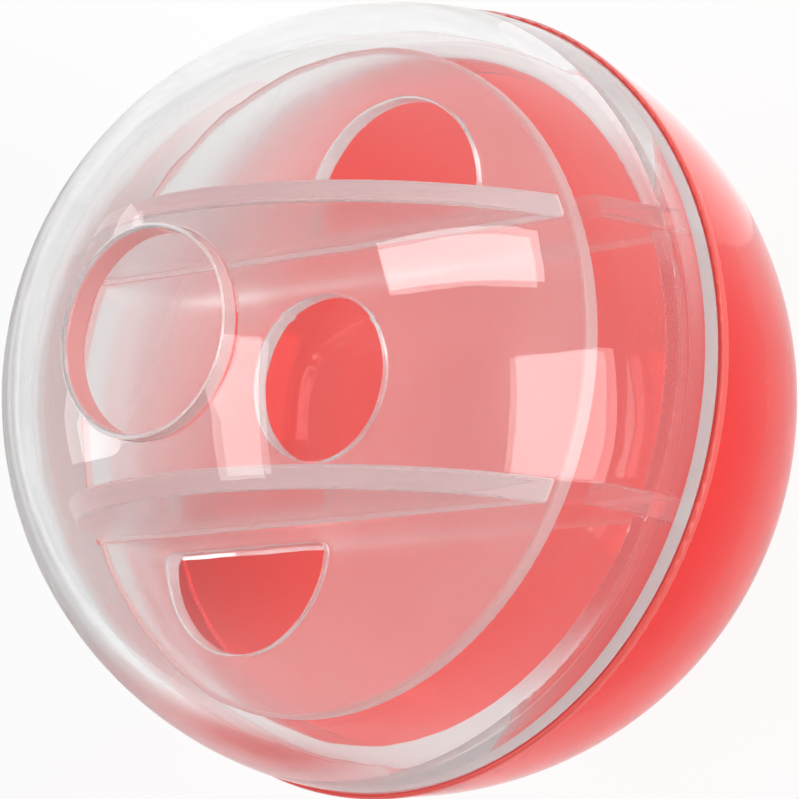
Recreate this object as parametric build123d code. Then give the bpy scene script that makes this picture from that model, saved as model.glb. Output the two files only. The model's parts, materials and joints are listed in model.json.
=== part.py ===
"""Treat dispensing ball: a clear and a red half shell round a clear labyrinth.

Frame: origin at the ball's centre, +Z towards the clear pole with the treat exit,
X along the labyrinth's baffles. All lengths are in millimetres.
"""
import os
from math import isclose, radians, sin, sqrt

from build123d import *

# Half shells
ball_radius = 30.0          # outside of both half shells
shell_wall = 2.2            # thickness of both half shells
seam_gap = 0.1              # air between the two rims at the seam
rim_edge = 0.1              # rounding of the clear rim's outer edge
lip_height = 0.3            # how far the red rim stands proud of the ball
lip_width = 0.9             # width of that lip along Z
lip_edge = 0.25             # rounding of the lip
exit_radius = 7.5           # treat exit at the clear pole
exit_edge = 0.35            # rounding of the exit's edges

# Coupling sleeve, a ring that plugs into both half shells
sleeve_reach = 2.7          # how far it goes into each half
sleeve_wall = 1.3
sleeve_clearance = 0.08     # radial fit in the half shells
sleeve_end_gap = 0.3        # from its ends to where the shells curve in
sleeve_edge = 0.35          # rounding of its ends

# Labyrinth plate
plate_latitude = 20.0       # degrees up the clear dome to its upper face
plate_wall = 1.4
plate_edge_gap = 1.3        # between its edge and the clear shell
plate_edge = 0.25           # rounding of its edge and holes
centre_hole_radius = 6.2
side_hole_offset = 6.5      # shift of the half-round holes along the baffles
side_hole_inset = 1.3       # from a baffle's outer face to the hole's flat side
side_hole_land = 3.8        # plate left outside each half-round hole
side_hole_corner = 0.8      # rounding of the half-round hole's two corners

# Baffles, two below the plate and two on it
baffle_spacing = 18.6       # between their inner faces
baffle_wall = 1.7
lower_baffle_gap = 0.3      # between the lower baffles' ends and the shell
upper_baffle_gap = 1.6      # between the upper baffles' rims and the shell
baffle_edge = 0.25          # rounding of the baffles' rims
bond_gap = 0.05             # bond line between pieces of the labyrinth

# Sizes that follow
inner_radius = ball_radius - shell_wall
land_radius = sqrt(inner_radius**2 - (sleeve_reach + sleeve_end_gap) ** 2)
sleeve_outer = land_radius - sleeve_clearance
sleeve_inner = sleeve_outer - sleeve_wall
plate_top = inner_radius * sin(radians(plate_latitude))
plate_bottom = plate_top - plate_wall
plate_radius = sqrt(inner_radius**2 - plate_top**2) - plate_edge_gap
baffle_centre = (baffle_spacing + baffle_wall) / 2
side_hole_flat = baffle_spacing / 2 + baffle_wall + side_hole_inset
side_hole_radius = sqrt(plate_radius**2 - side_hole_offset**2) - side_hole_flat - side_hole_land
span = 3 * ball_radius      # longer than the ball, for cutting blocks

ON_FLOOR = (Align.CENTER, Align.CENTER, Align.MIN)
BELOW_TOP = (Align.CENTER, Align.CENTER, Align.MAX)


def circles(solid, radius):
    """The solid's round edges of one radius."""
    return [
        edge
        for edge in solid.edges().filter_by(GeomType.CIRCLE)
        if isclose(edge.radius, radius, abs_tol=1e-4)
    ]


def hollow():
    """The space inside the ball, with a straight land for the sleeve at the seam."""
    return Sphere(inner_radius) & Cylinder(land_radius, span)


def clear_half_shell():
    """Upper half, open at its pole."""
    upper = Pos(0, 0, seam_gap / 2) * Box(span, span, span, align=ON_FLOOR)
    rim_radius = sqrt(ball_radius**2 - (seam_gap / 2) ** 2)
    shell = Sphere(ball_radius) & upper
    shell = fillet(circles(shell, rim_radius), rim_edge)
    shell -= hollow()
    shell -= Cylinder(exit_radius, span, align=ON_FLOOR)
    return fillet(circles(shell, exit_radius), min(exit_edge, 0.3 * shell_wall))


def red_half_shell():
    """Lower half, a closed bowl with a lip round its rim."""
    rim_height = -seam_gap / 2
    lower = Pos(0, 0, rim_height) * Box(span, span, span, align=BELOW_TOP)
    lip_radius = ball_radius + lip_height
    lip = Pos(0, 0, rim_height) * Cylinder(lip_radius, lip_width, align=BELOW_TOP)
    lip = fillet(circles(lip, lip_radius), min(lip_edge, 0.45 * lip_width))
    return (Sphere(ball_radius) & lower) + lip - hollow()


def baffle_slot(side):
    """Room in the sleeve for one lower baffle's feet."""
    block = Box(span, baffle_wall + 2 * bond_gap, span, align=ON_FLOOR)
    return Pos(0, side * baffle_centre, -bond_gap) * block


def coupling_sleeve():
    """Ring across the seam, slotted for the lower baffles' feet."""
    height = 2 * sleeve_reach
    ring = Cylinder(sleeve_outer, height) - Cylinder(sleeve_inner, height)
    ends = circles(ring, sleeve_outer) + circles(ring, sleeve_inner)
    ring = fillet(ends, min(sleeve_edge, 0.4 * sleeve_wall))
    for side in (-1, 1):
        ring -= baffle_slot(side)
    return ring


def baffle(side, bottom, top, rim_radius):
    """Upright wall along X, with its ends and rim on a sphere inside the clear shell."""
    strip = Pos(rim_radius / 2, side * baffle_centre) * Rectangle(rim_radius, baffle_wall)
    outline = strip & Circle(rim_radius)
    rim_corners = outline.vertices().sort_by(Axis.X)[2:]
    outline = fillet(rim_corners, min(baffle_edge, 0.4 * baffle_wall))
    level = Pos(0, 0, bottom) * Box(span, span, top - bottom, align=ON_FLOOR)
    return revolve(outline, Axis.Y) & level & Cylinder(sleeve_outer, span)


def lower_baffle(side):
    """Stands in the sleeve's slots and carries the plate."""
    return baffle(side, 0, plate_bottom - bond_gap, inner_radius - lower_baffle_gap)


def upper_baffle(side):
    """Stands on the plate and follows the dome."""
    return baffle(side, plate_top + bond_gap, ball_radius, inner_radius - upper_baffle_gap)


def side_hole():
    """Half-round opening with its flat side on X, round side towards +Y."""
    width = 2 * side_hole_radius
    outline = Circle(side_hole_radius) & Pos(0, side_hole_radius) * Rectangle(width, width)
    outline = fillet(outline.vertices(), min(side_hole_corner, 0.3 * side_hole_radius))
    return extrude(outline, plate_wall)


def labyrinth_plate():
    """Disc across the clear dome, with a round hole and two half-round ones."""
    plate = Cylinder(plate_radius, plate_wall, align=ON_FLOOR)
    plate -= Cylinder(centre_hole_radius, plate_wall, align=ON_FLOOR)
    opening = Pos(side_hole_offset, side_hole_flat, 0) * side_hole()
    plate -= opening
    plate -= Rot(0, 0, 180) * opening
    levels = plate.faces().sort_by(Axis.Z)
    rims = levels[0].edges() + levels[-1].edges()
    plate = fillet(rims, min(plate_edge, 0.4 * plate_wall))
    return Pos(0, 0, plate_bottom) * plate


nodes = {
    "clear_half_shell": clear_half_shell(),
    "red_half_shell": red_half_shell(),
    "coupling_sleeve": coupling_sleeve(),
    "labyrinth_plate": labyrinth_plate(),
    "front_lower_baffle": lower_baffle(-1),
    "rear_lower_baffle": lower_baffle(1),
    "front_upper_baffle": upper_baffle(-1),
    "rear_upper_baffle": upper_baffle(1),
}

os.makedirs("parts", exist_ok=True)
for name, solid in nodes.items():
    export_step(solid, f"parts/{name}.step")
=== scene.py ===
"""Looks of the treat dispensing ball: see-through plastics, soft studio light and camera."""
import json
import math
import bpy
from mathutils import Matrix, Vector


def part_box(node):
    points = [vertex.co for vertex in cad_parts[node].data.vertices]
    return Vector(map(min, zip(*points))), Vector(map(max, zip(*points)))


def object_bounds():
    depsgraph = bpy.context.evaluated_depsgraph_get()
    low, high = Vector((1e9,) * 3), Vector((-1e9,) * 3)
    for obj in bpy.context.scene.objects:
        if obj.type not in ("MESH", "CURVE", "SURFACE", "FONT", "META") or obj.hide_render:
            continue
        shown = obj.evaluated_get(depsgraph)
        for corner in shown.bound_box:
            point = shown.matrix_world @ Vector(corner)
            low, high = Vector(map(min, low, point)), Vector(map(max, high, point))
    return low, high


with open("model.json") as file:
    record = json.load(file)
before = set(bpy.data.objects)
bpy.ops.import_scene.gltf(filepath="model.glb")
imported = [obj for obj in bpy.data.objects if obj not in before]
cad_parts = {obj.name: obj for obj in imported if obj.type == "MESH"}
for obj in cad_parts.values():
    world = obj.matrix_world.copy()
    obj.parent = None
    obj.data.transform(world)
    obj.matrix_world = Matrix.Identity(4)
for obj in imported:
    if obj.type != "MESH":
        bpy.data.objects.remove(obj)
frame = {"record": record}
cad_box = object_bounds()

scene = bpy.context.scene
scene.view_settings.view_transform = "Standard"

# Light crosses more thin walls here than Blender allows for by itself
LIGHT_STEPS = 64
scene.cycles.max_bounces = LIGHT_STEPS
scene.cycles.transmission_bounces = LIGHT_STEPS
scene.cycles.glossy_bounces = LIGHT_STEPS
scene.cycles.transparent_max_bounces = LIGHT_STEPS

# Viewing direction, from the ball's centre to the camera, and the picture's upward direction
VIEW_BACK = Vector((0.633, -0.189, 0.750)).normalized()
VIEW_RIGHT = Vector((0.091, 0.981, 0.171)).cross(VIEW_BACK).normalized()
VIEW_UP = VIEW_BACK.cross(VIEW_RIGHT)
CAMERA_DISTANCE = 0.42
NEAREST_SEEN = 0.01
LENS = 250.3                # this and the sensor in millimetres, as Blender has them
SENSOR_WIDTH = 36.0


def in_view(x, y, z):
    """A direction given as right, up and towards the camera."""
    return (VIEW_RIGHT * x + VIEW_UP * y + VIEW_BACK * z).normalized()


def facing(back, up):
    """Turns an object's +Z to back, with its +Y as near to up as that allows."""
    right = up.cross(back).normalized()
    return Matrix((right, back.cross(right), back)).transposed()


# Materials

# Faces that look different, each as a middle height and a reach
SEAM_FACES = (0.0, 0.00007)
RED_LIP = (-0.0005, 0.00046)
SLEEVE_END = (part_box("coupling_sleeve")[1][2], 0.0003)
BAFFLE_FOOT = (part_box("front_upper_baffle")[0][2], 0.0002)

# Faces that look different, as radii from the ball's axis
exit_bore = next(mount for mount in frame["record"]["mounts"] if mount["name"] == "treat_exit")
exit_radius = exit_bore["dims"]["r_mm"] / 1000
EXIT_WALL = exit_radius + 0.00006
EXIT_RIM = exit_radius + 0.0004
EXIT_LEVEL = exit_bore["pos_m"][2]  # between the exit's outer and inner edges
PLATE_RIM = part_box("labyrinth_plate")[1][0] - 0.0003

# Where finishes, painted highlights and painted reflections fade in, from none to full
# The sleeve end's white frost on these sides is a painted highlight
SLEEVE_HIGHLIGHT_REAR = (0.006, 0.018)
SLEEVE_HIGHLIGHT_FRONT = (-0.0165, -0.0235)
PLATE_FROST = (0.006, 0.022)
PLATE_FROST_LEAN = (-0.9, 0.5)      # shares of X and Y in the way it fades
GLAZE_GRAZING = (0.45, 0.85)
# The coat's rise towards +Y is a painted reflection
PAINTED_REFLECTION_REAR = (0.003, 0.019)
PAINTED_REFLECTION_LEAST = 0.08

# Unevenness of the plastics, where a larger scale is finer
FLOW_SCALE = 70
FLOW_STRETCH = (1, 1, 0.5)
SMEAR_SCALE = 160
SMEAR_DETAIL = 4
WAVE_SCALE = 120
WAVE_STRETCH = (1, 1, 0.6)


def new_tree(name):
    """A material with an empty node tree."""
    material = bpy.data.materials.new(name)
    material.use_nodes = True
    nodes = material.node_tree.nodes
    nodes.clear()
    return material, nodes, material.node_tree.links


def noise(nodes, links, scale, detail=2.0, stretch=(1, 1, 1)):
    """Noise in the part's own coordinates."""
    place = nodes.new("ShaderNodeTexCoord")
    mapping = nodes.new("ShaderNodeMapping")
    mapping.inputs["Scale"].default_value = stretch
    texture = nodes.new("ShaderNodeTexNoise")
    texture.inputs["Scale"].default_value = scale
    texture.inputs["Detail"].default_value = detail
    links.new(place.outputs["Object"], mapping.inputs["Vector"])
    links.new(mapping.outputs["Vector"], texture.inputs["Vector"])
    return texture.outputs["Fac"]


def ramp(nodes, links, source, low, high, start=0.35, end=0.65):
    """Goes from low to high as a socket's number goes from start to end."""
    node = nodes.new("ShaderNodeMapRange")
    node.inputs["From Min"].default_value = start
    node.inputs["From Max"].default_value = end
    node.inputs["To Min"].default_value = low
    node.inputs["To Max"].default_value = high
    links.new(source, node.inputs["Value"])
    return node.outputs["Result"]


def blend(nodes, links, share, source, other):
    """Goes from a socket's number to another number as share rises to 1."""
    node = nodes.new("ShaderNodeMix")
    node.inputs["B"].default_value = other
    links.new(share, node.inputs["Factor"])
    links.new(source, node.inputs["A"])
    return node.outputs["Result"]


def tint(nodes, links, source, low, high):
    """Goes from one colour to another as a socket's number rises to 1."""
    node = nodes.new("ShaderNodeMix")
    node.data_type = "RGBA"
    node.inputs["A"].default_value = (*low, 1)
    node.inputs["B"].default_value = (*high, 1)
    links.new(source, node.inputs["Factor"])
    return node.outputs["Result"]


def recolour(nodes, links, share, source, other):
    """Goes from a socket's colour to another colour as share rises to 1."""
    node = nodes.new("ShaderNodeMix")
    node.data_type = "RGBA"
    node.inputs["B"].default_value = (*other, 1)
    links.new(share, node.inputs["Factor"])
    links.new(source, node.inputs["A"])
    return node.outputs["Result"]


def lets_light_in(nodes, links, shader, colour):
    """The shader as it is seen, with lamplight and scattered light passing straight through it."""
    path = nodes.new("ShaderNodeLightPath")
    window = nodes.new("ShaderNodeBsdfTransparent")
    window.inputs["Color"].default_value = (*colour, 1)
    for kind in ("Is Diffuse Ray", "Is Shadow Ray"):
        mix = nodes.new("ShaderNodeMixShader")
        links.new(path.outputs[kind], mix.inputs["Fac"])
        links.new(shader, mix.inputs[1])
        links.new(window.outputs["BSDF"], mix.inputs[2])
        shader = mix.outputs["Shader"]
    return shader


def place_on_part(nodes, links):
    """X, Y and Z in the part's own coordinates."""
    place = nodes.new("ShaderNodeTexCoord")
    parts = nodes.new("ShaderNodeSeparateXYZ")
    links.new(place.outputs["Object"], parts.inputs["Vector"])
    return parts.outputs


def reckon(nodes, links, operation, first, second=None):
    """One step of arithmetic on a socket and a socket or number."""
    node = nodes.new("ShaderNodeMath")
    node.operation = operation
    links.new(first, node.inputs[0])
    if isinstance(second, (int, float)):
        node.inputs[1].default_value = second
    elif second is not None:
        links.new(second, node.inputs[1])
    return node.outputs[0]


def on_level(nodes, links, height, reach):
    """1 on the faces within reach of that height and 0 away from them."""
    near = nodes.new("ShaderNodeMath")
    near.operation = "COMPARE"
    near.inputs[1].default_value = height
    near.inputs[2].default_value = reach
    links.new(place_on_part(nodes, links)["Z"], near.inputs[0])
    return near.outputs[0]


def round_axis(nodes, links, radius):
    """1 within that radius of the ball's axis and 0 outside it."""
    place = place_on_part(nodes, links)
    across = reckon(nodes, links, "MULTIPLY", place["X"], place["X"])
    along = reckon(nodes, links, "MULTIPLY", place["Y"], place["Y"])
    return reckon(nodes, links, "LESS_THAN", reckon(nodes, links, "ADD", across, along), radius**2)


def seam_end(nodes, links):
    """Both half shells' faces at the seam."""
    return on_level(nodes, links, *SEAM_FACES)


def lip(nodes, links):
    """The red half's lip."""
    return on_level(nodes, links, *RED_LIP)


def exit_wall_painted_glow(nodes, links):
    """The wall of the treat exit, where a painted pink glow stands for red light carried through the
    clear shell from the red half.
    """
    return round_axis(nodes, links, EXIT_WALL)


def exit_rim_frost_and_highlight(nodes, links):
    """The outer edge of the treat exit, frosted white, partly a painted highlight of its rounded
    edge.
    """
    outside = reckon(nodes, links, "GREATER_THAN", place_on_part(nodes, links)["Z"], EXIT_LEVEL)
    return reckon(nodes, links, "MULTIPLY", round_axis(nodes, links, EXIT_RIM), outside)


def sleeve_end_frost_and_highlight(nodes, links):
    """The sleeve's upper end, frosted white towards +Y and, further out, towards -Y, as a painted
    highlight of the light it catches on those sides.
    """
    along = place_on_part(nodes, links)["Y"]
    rear = ramp(nodes, links, along, 0, 1, *SLEEVE_HIGHLIGHT_REAR)
    front = ramp(nodes, links, along, 0, 1, *SLEEVE_HIGHLIGHT_FRONT)
    frost_and_highlight = reckon(nodes, links, "MAXIMUM", rear, front)
    return reckon(nodes, links, "MULTIPLY", on_level(nodes, links, *SLEEVE_END), frost_and_highlight)


def baffle_foot(nodes, links):
    """The upper baffles' lower faces, on the plate."""
    return on_level(nodes, links, *BAFFLE_FOOT)


def plate_rim_painted_glow(nodes, links):
    """The plate's outer edge, where a painted pink glow stands for red light from the red half."""
    return ramp(nodes, links, round_axis(nodes, links, PLATE_RIM), 1, 0, 0, 1)


def plate_corner(nodes, links):
    """The plate's part towards -X and +Y, fading out over its middle."""
    place = place_on_part(nodes, links)
    across = reckon(nodes, links, "MULTIPLY", place["X"], PLATE_FROST_LEAN[0])
    along = reckon(nodes, links, "MULTIPLY", place["Y"], PLATE_FROST_LEAN[1])
    return ramp(nodes, links, reckon(nodes, links, "ADD", across, along), 0, 1, *PLATE_FROST)


def moulded_plastic(name, colours, passing, transmission, roughness, waviness, ior, frosted=()):
    """See-through moulded plastic, with slight waves, smears and uneven colour.

    Each frosted zone has its place, colour, transmission and roughness.
    """
    material, nodes, links = new_tree(name)
    output = nodes.new("ShaderNodeOutputMaterial")
    shader = nodes.new("ShaderNodeBsdfPrincipled")
    shader.inputs["IOR"].default_value = ior
    shader.inputs["Transmission Weight"].default_value = transmission
    flow = noise(nodes, links, FLOW_SCALE, stretch=FLOW_STRETCH)
    smear = noise(nodes, links, SMEAR_SCALE, detail=SMEAR_DETAIL)
    wave = noise(nodes, links, WAVE_SCALE, stretch=WAVE_STRETCH)
    share = ramp(nodes, links, flow, 0, 1)
    colour = tint(nodes, links, share, *colours)
    gloss = ramp(nodes, links, smear, *roughness)
    haze = None
    for zone, zone_colour, zone_transmission, zone_roughness in frosted:
        face = zone(nodes, links)
        colour = recolour(nodes, links, face, colour, zone_colour)
        gloss = blend(nodes, links, face, gloss, zone_roughness)
        if haze is None:
            haze = ramp(nodes, links, face, transmission, zone_transmission, 0, 1)
        else:
            haze = blend(nodes, links, face, haze, zone_transmission)
        links.new(haze, shader.inputs["Transmission Weight"])
    links.new(colour, shader.inputs["Base Color"])
    links.new(gloss, shader.inputs["Roughness"])
    bump = nodes.new("ShaderNodeBump")
    bump.inputs["Strength"].default_value = 1.0
    bump.inputs["Distance"].default_value = waviness
    links.new(wave, bump.inputs["Height"])
    links.new(bump.outputs["Normal"], shader.inputs["Normal"])
    seen_shader = lets_light_in(nodes, links, shader.outputs["BSDF"], passing)
    links.new(seen_shader, output.inputs["Surface"])
    return material


def grazing_gloss_with_painted_reflection(material, roughness, ior):
    """A gloss at grazing angles, made strongest towards +Y as a painted reflection of the light on
    that side.
    """
    nodes, links = material.node_tree.nodes, material.node_tree.links
    shader = nodes["Principled BSDF"]
    shader.inputs["Coat Roughness"].default_value = roughness
    shader.inputs["Coat IOR"].default_value = ior
    edge = nodes.new("ShaderNodeLayerWeight")
    edge.inputs["Blend"].default_value = 0.5
    grazing = ramp(nodes, links, edge.outputs["Facing"], 0, 1, *GLAZE_GRAZING)
    rear = ramp(nodes, links, place_on_part(nodes, links)["Y"], PAINTED_REFLECTION_LEAST, 1, *PAINTED_REFLECTION_REAR)
    links.new(reckon(nodes, links, "MULTIPLY", grazing, rear), shader.inputs["Coat Weight"])


clear = moulded_plastic(
    "clear_plastic",
    ((0.985, 0.99, 0.99), (0.965, 0.975, 0.975)),
    passing=(0.98, 0.98, 0.98),
    transmission=0.98,
    roughness=(0.0, 0.02),
    waviness=0.00004,
    ior=1.49,
    frosted=(
        (seam_end, (0.50, 0.48, 0.48), 0.6, 0.6),
        # The exit rim's white frost is partly a painted highlight
        (exit_rim_frost_and_highlight, (0.97, 0.96, 0.96), 0.75, 0.3),
        # The exit wall's pink is a painted glow of red light from the red half
        (exit_wall_painted_glow, (0.99, 0.48, 0.46), 0.55, 0.25),
    ),
)
faint = moulded_plastic(
    "faint_plastic",
    ((0.99, 0.99, 0.99), (0.975, 0.98, 0.98)),
    passing=(0.98, 0.98, 0.98),
    transmission=0.98,
    roughness=(0.0, 0.03),
    waviness=0.00004,
    ior=1.25,
)
sleeve = moulded_plastic(
    "sleeve_plastic",
    ((0.90, 0.48, 0.51), (0.87, 0.42, 0.45)),
    passing=(0.97, 0.9, 0.9),
    transmission=0.98,
    roughness=(0.0, 0.03),
    waviness=0.00004,
    ior=1.25,
    # The sleeve end's white frost is a painted highlight
    frosted=((sleeve_end_frost_and_highlight, (0.95, 0.93, 0.93), 0.2, 0.6),),
)
milky = moulded_plastic(
    "milky_plastic",
    ((0.97, 0.975, 0.975), (0.95, 0.955, 0.955)),
    passing=(0.93, 0.93, 0.93),
    transmission=0.92,
    roughness=(0.19, 0.22),
    waviness=0.00003,
    ior=1.49,
    frosted=(
        (plate_corner, (0.93, 0.93, 0.93), 0.65, 0.24),
        # The plate rim's pink is a painted glow of red light from the red half
        (plate_rim_painted_glow, (0.80, 0.36, 0.35), 0.5, 0.5),
    ),
)
blush = moulded_plastic(
    "blush_plastic",
    ((0.97, 0.93, 0.93), (0.95, 0.90, 0.90)),
    passing=(0.93, 0.93, 0.93),
    transmission=0.92,
    roughness=(0.19, 0.22),
    waviness=0.00003,
    ior=1.3,
    frosted=((baffle_foot, (0.90, 0.60, 0.60), 0.4, 0.6),),
)
red = moulded_plastic(
    "red_plastic",
    ((0.99, 0.075, 0.062), (0.97, 0.06, 0.05)),
    passing=(0.97, 0.3, 0.27),
    transmission=0.9,
    roughness=(0.0, 0.03),
    waviness=0.00006,
    ior=1.52,
    frosted=(
        (lip, (0.92, 0.15, 0.13), 0.4, 0.3),
        (seam_end, (0.75, 0.06, 0.05), 0.6, 0.6),
    ),
)
# The red half's coat is stronger towards +Y as a painted reflection
grazing_gloss_with_painted_reflection(red, roughness=0.12, ior=2.5)

FINISHES = {
    "clear_half_shell": (clear, "clear_plastic"),
    "red_half_shell": (red, "red_plastic"),
    "coupling_sleeve": (sleeve, "clear_plastic"),
    "labyrinth_plate": (milky, "clear_plastic"),
    "front_lower_baffle": (faint, "clear_plastic"),
    "rear_lower_baffle": (faint, "clear_plastic"),
    "front_upper_baffle": (blush, "clear_plastic"),
    "rear_upper_baffle": (blush, "clear_plastic"),
}
for name, (material, slot) in FINISHES.items():
    piece = bpy.data.objects[name]
    piece.data.materials.clear()
    piece.data.materials.append(material)


# Floor, white where it is looked at, and surroundings

FLOOR_RADIUS = 0.16
FLOOR_CORNERS = 96
FLOOR_PALE = (1.0, 1.0, 1.0)
# Painted shadows on the floor: a grey one and two pink ones, standing in for the ball's shade and its
# red-tinted shadow
FLOOR_PAINTED_SHADOWS = (             # colour, middle in X and Y, and where it starts and stops to fade
    ((0.55, 0.54, 0.54), (-0.087, 0.003), 0.034, 0.056),
    ((0.74, 0.20, 0.20), (-0.056, -0.058), 0.012, 0.050),
    ((0.96, 0.78, 0.78), (0.020, -0.015), 0.020, 0.045),
)
FLOOR_GLOW = {"Is Camera Ray": 0.93, "Is Glossy Ray": 0.65, "Is Transmission Ray": 0.6}
SKY_LEVELS = (1.0, 0.45)    # strength round about and overhead
SKY_HEIGHTS = (0.0, 0.6)    # where it starts and stops to fall, as the upward part of a direction


def floor_material():
    """Pale paper with painted grey and pink shadows in soft pools, plain white to the camera but for
    the shadow.
    """
    material, nodes, links = new_tree("pale_floor")
    output = nodes.new("ShaderNodeOutputMaterial")
    path = nodes.new("ShaderNodeLightPath")
    place = nodes.new("ShaderNodeTexCoord")
    colour = None
    for shadow_colour, (x, y), start, end in FLOOR_PAINTED_SHADOWS:
        apart = nodes.new("ShaderNodeVectorMath")
        apart.operation = "DISTANCE"
        apart.inputs[1].default_value = (x, y, 0)
        links.new(place.outputs["Object"], apart.inputs[0])
        share = ramp(nodes, links, apart.outputs["Value"], 1, 0, start, end)
        if colour is None:
            colour = tint(nodes, links, share, FLOOR_PALE, shadow_colour)
        else:
            colour = recolour(nodes, links, share, colour, shadow_colour)
    matt = nodes.new("ShaderNodeBsdfDiffuse")
    links.new(colour, matt.inputs["Color"])
    glow = nodes.new("ShaderNodeEmission")
    seen = recolour(nodes, links, path.outputs["Is Camera Ray"], colour, FLOOR_PALE)
    links.new(seen, glow.inputs["Color"])
    share = None
    for kind, most in FLOOR_GLOW.items():
        part = ramp(nodes, links, path.outputs[kind], 0, most, 0, 1)
        share = reckon(nodes, links, "MAXIMUM", share, part) if share else part
    mix = nodes.new("ShaderNodeMixShader")
    links.new(share, mix.inputs["Fac"])
    links.new(matt.outputs["BSDF"], mix.inputs[1])
    links.new(glow.outputs["Emission"], mix.inputs[2])
    links.new(mix.outputs["Shader"], output.inputs["Surface"])
    return material


floor_height = cad_box[0][2]
bpy.ops.mesh.primitive_circle_add(
    vertices=FLOOR_CORNERS, radius=FLOOR_RADIUS, fill_type="NGON", location=(0, 0, floor_height)
)
floor = bpy.context.object
floor.name = "floor"
floor.data.materials.append(floor_material())


def surroundings():
    """Pale below and round about, greyer overhead, and pale wherever the camera looks."""
    world = bpy.data.worlds.new("studio")
    world.use_nodes = True
    scene.world = world
    nodes, links = world.node_tree.nodes, world.node_tree.links
    nodes.clear()
    output = nodes.new("ShaderNodeOutputWorld")
    light = nodes.new("ShaderNodeBackground")
    place = nodes.new("ShaderNodeTexCoord")
    parts = nodes.new("ShaderNodeSeparateXYZ")
    links.new(place.outputs["Generated"], parts.inputs["Vector"])
    level = ramp(nodes, links, parts.outputs["Z"], *SKY_LEVELS, *SKY_HEIGHTS)
    level.node.interpolation_type = "SMOOTHSTEP"
    path = nodes.new("ShaderNodeLightPath")
    strength = blend(nodes, links, path.outputs["Is Camera Ray"], level, 1.0)
    links.new(strength, light.inputs["Strength"])
    links.new(light.outputs["Background"], output.inputs["Surface"])


surroundings()


# Lamps

LAMP_DISTANCE = 0.8
PANEL_PLACE = Vector((0.020, 0.052, floor_height + 0.001))
DOWN = Vector((0, 0, -1))
REAR = Vector((0, 1, 0))


def softbox(name, place, back, up, width, height, radiance):
    """A soft lamp of that brightness, unseen by the camera, with its back turned that way."""
    lamp = bpy.data.lights.new(name, "AREA")
    lamp.shape = "RECTANGLE"
    lamp.size = width
    lamp.size_y = height
    lamp.energy = radiance * math.pi * width * height
    item = bpy.data.objects.new(name, lamp)
    item.matrix_world = Matrix.Translation(place) @ facing(back, up).to_4x4()
    item.visible_camera = False
    scene.collection.objects.link(item)
    return item


def lamp_round(name, direction, width, height, radiance, distance=LAMP_DISTANCE):
    """A lamp turned to the ball, in that direction of the picture."""
    back = in_view(*direction)
    softbox(name, back * distance, back, VIEW_UP, width, height, radiance)


lamp_round("lamp_above", (0.281, 0.646, 0.711), width=0.62, height=0.22, radiance=5.5)
lamp_round("lamp_right", (0.738, -0.073, 0.671), width=0.44, height=0.47, radiance=3.6)
lamp_round("lamp_left", (-0.725, -0.037, 0.690), width=0.20, height=0.53, radiance=3.6)
lamp_round("lamp_side", (-0.970, 0.210, -0.107), width=0.15, height=0.30, radiance=2.3, distance=0.35)

# A light panel on the floor, for the pale edge of the red half
panel = softbox("lamp_edge", PANEL_PLACE, DOWN, REAR, width=0.060, height=0.064, radiance=0.2)
panel.data.shape = "ELLIPSE"
panel.visible_transmission = False


# Camera

lens = bpy.data.cameras.new("camera")
lens.lens = LENS
lens.sensor_width = SENSOR_WIDTH
lens.clip_start = NEAREST_SEEN
camera = bpy.data.objects.new("camera", lens)
camera_place = Matrix.Translation(VIEW_BACK * CAMERA_DISTANCE)
camera.matrix_world = camera_place @ facing(VIEW_BACK, VIEW_UP).to_4x4()
scene.collection.objects.link(camera)
scene.camera = camera
